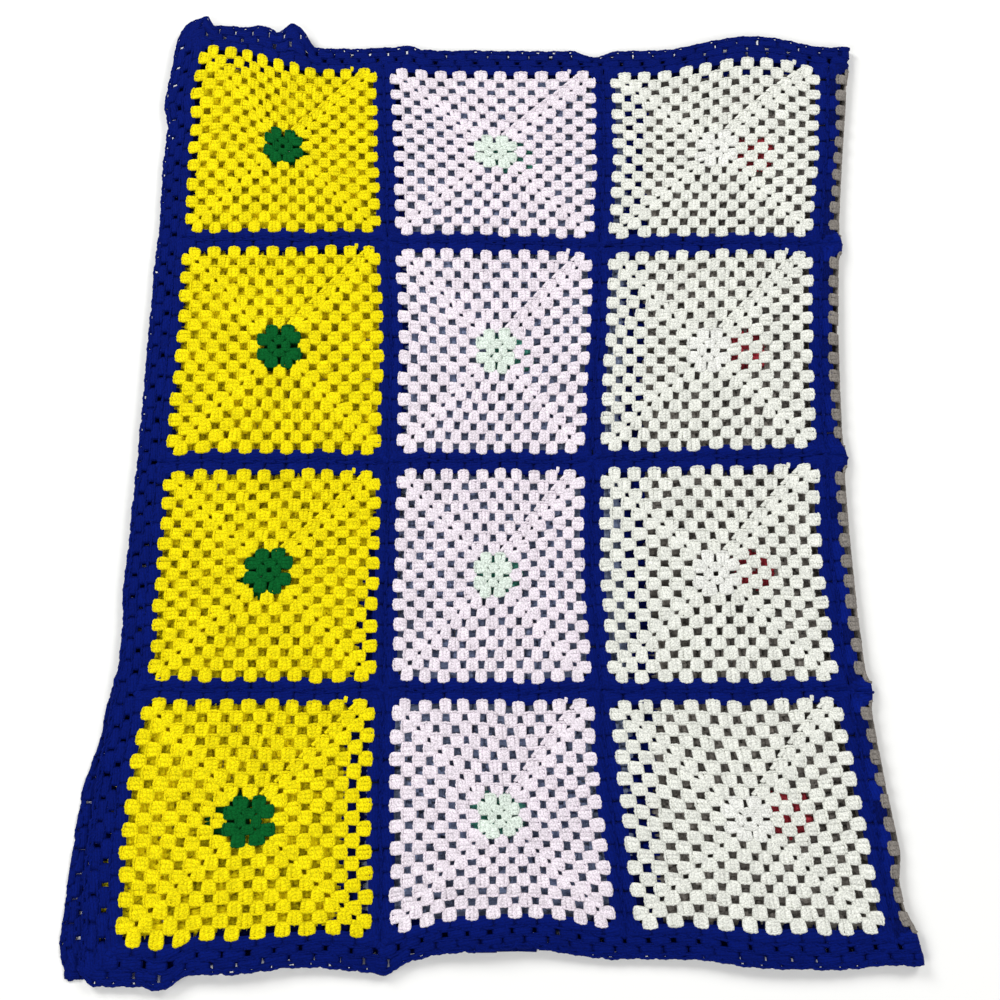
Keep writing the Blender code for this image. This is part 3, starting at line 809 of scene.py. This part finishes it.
EDGING_LAP = 0.004  # its feet reach this far over the squares
EdgingRound = namedtuple("EdgingRound", "work across up")
EDGING_ROUNDS = [
    EdgingRound(
        Work("inner shells", 0.0104, EDGING_LAP, 0.87, 0, 0, 0, True),
        across=COLUMNS * ROUNDS, up=ROWS * ROUNDS,
    ),
    EdgingRound(
        Work("outer shells", 0.0104, 0.0035, 0.96, 0, 0, 0, True),
        across=COLUMNS * ROUNDS + 1, up=ROWS * ROUNDS + 1,
    ),
    EdgingRound(Work("hem", 0.0042, 0.0030, 0.96, 0, 0, 0, True), across=89, up=60),
]
middle = (WIDTH / 2, HEIGHT / 2)


def edging_shows(x, y):
    """Whether a place, from the middle of the blanket, shows: on the upper layer or at the far edge of the
    under layer."""
    u = middle[0] + x
    return u < FOLD_U + SHOWN_PAST_FOLD or u > WIDTH - 2 * EDGING


edging_stitches = []
half_across = middle[0] - EDGING
half_up = middle[1] - EDGING
for number, (work, across, up) in enumerate(EDGING_ROUNDS):
    edging_stitches += work_round(
        work, ROUNDS + number, half_across, half_up, across, up, random.Random(number), edging_shows
    )
    half_across += work.height
    half_up += work.height

edging = work_piece(
    "edging", edging_stitches, middle, seed=900,
    materials={label: yarn_material("blue") for label in ("Centre yarn", "Column yarn", "Joining yarn")},
)
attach(edging, "root")
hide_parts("edging")

for template in TEMPLATES.values():
    bpy.data.objects.remove(template)


# ---- Floor and light: a plain pale floor, just under the cloth so that the two don't share a plane, and soft
# studio light from four large lamps and an even sky.

FLOOR_SIZE = 12.0
FLOOR_DROP = 0.0002
FLOOR_COLOUR = (0.90, 0.90, 0.885)
SKY_STRENGTH = 0.11

bpy.ops.mesh.primitive_plane_add(size=FLOOR_SIZE, location=(0, 0, -FLOOR_DROP))
floor = bpy.context.active_object
floor.name = "floor"
pale = bpy.data.materials.new("pale floor")
pale.use_nodes = True
finish = pale.node_tree.nodes["Principled BSDF"]
finish.inputs["Base Color"].default_value = (*FLOOR_COLOUR, 1)
finish.inputs["Roughness"].default_value = 0.9
floor.data.materials.append(pale)

Lamp = namedtuple("Lamp", "name place size watts")
LAMPS = [
    Lamp("upper left", (-2.2, 1.9, 2.2), 1.6, 89.0),
    Lamp("upper right", (2.2, 1.9, 2.4), 1.6, 62.0),
    Lamp("lower right", (2.2, -2.1, 2.4), 1.8, 50.0),
    Lamp("lower left", (-2.2, -2.1, 2.4), 1.8, 58.0),
]
for lamp in LAMPS:
    light = bpy.data.objects.new(lamp.name, bpy.data.lights.new(lamp.name, "AREA"))
    light.data.size = lamp.size
    light.data.energy = lamp.watts
    light.location = lamp.place
    towards = -np.array(lamp.place)
    down = math.atan2(math.hypot(towards[0], towards[1]), -towards[2])
    round_about = math.atan2(towards[0], -towards[1]) + math.pi
    light.rotation_euler = (down, 0, round_about)
    bpy.context.scene.collection.objects.link(light)

world = bpy.data.worlds.new("studio")
world.use_nodes = True
sky = world.node_tree.nodes["Background"]
sky.inputs["Color"].default_value = (1, 1, 1, 1)
sky.inputs["Strength"].default_value = SKY_STRENGTH
bpy.context.scene.world = world
bpy.context.scene.view_settings.view_transform = "Standard"
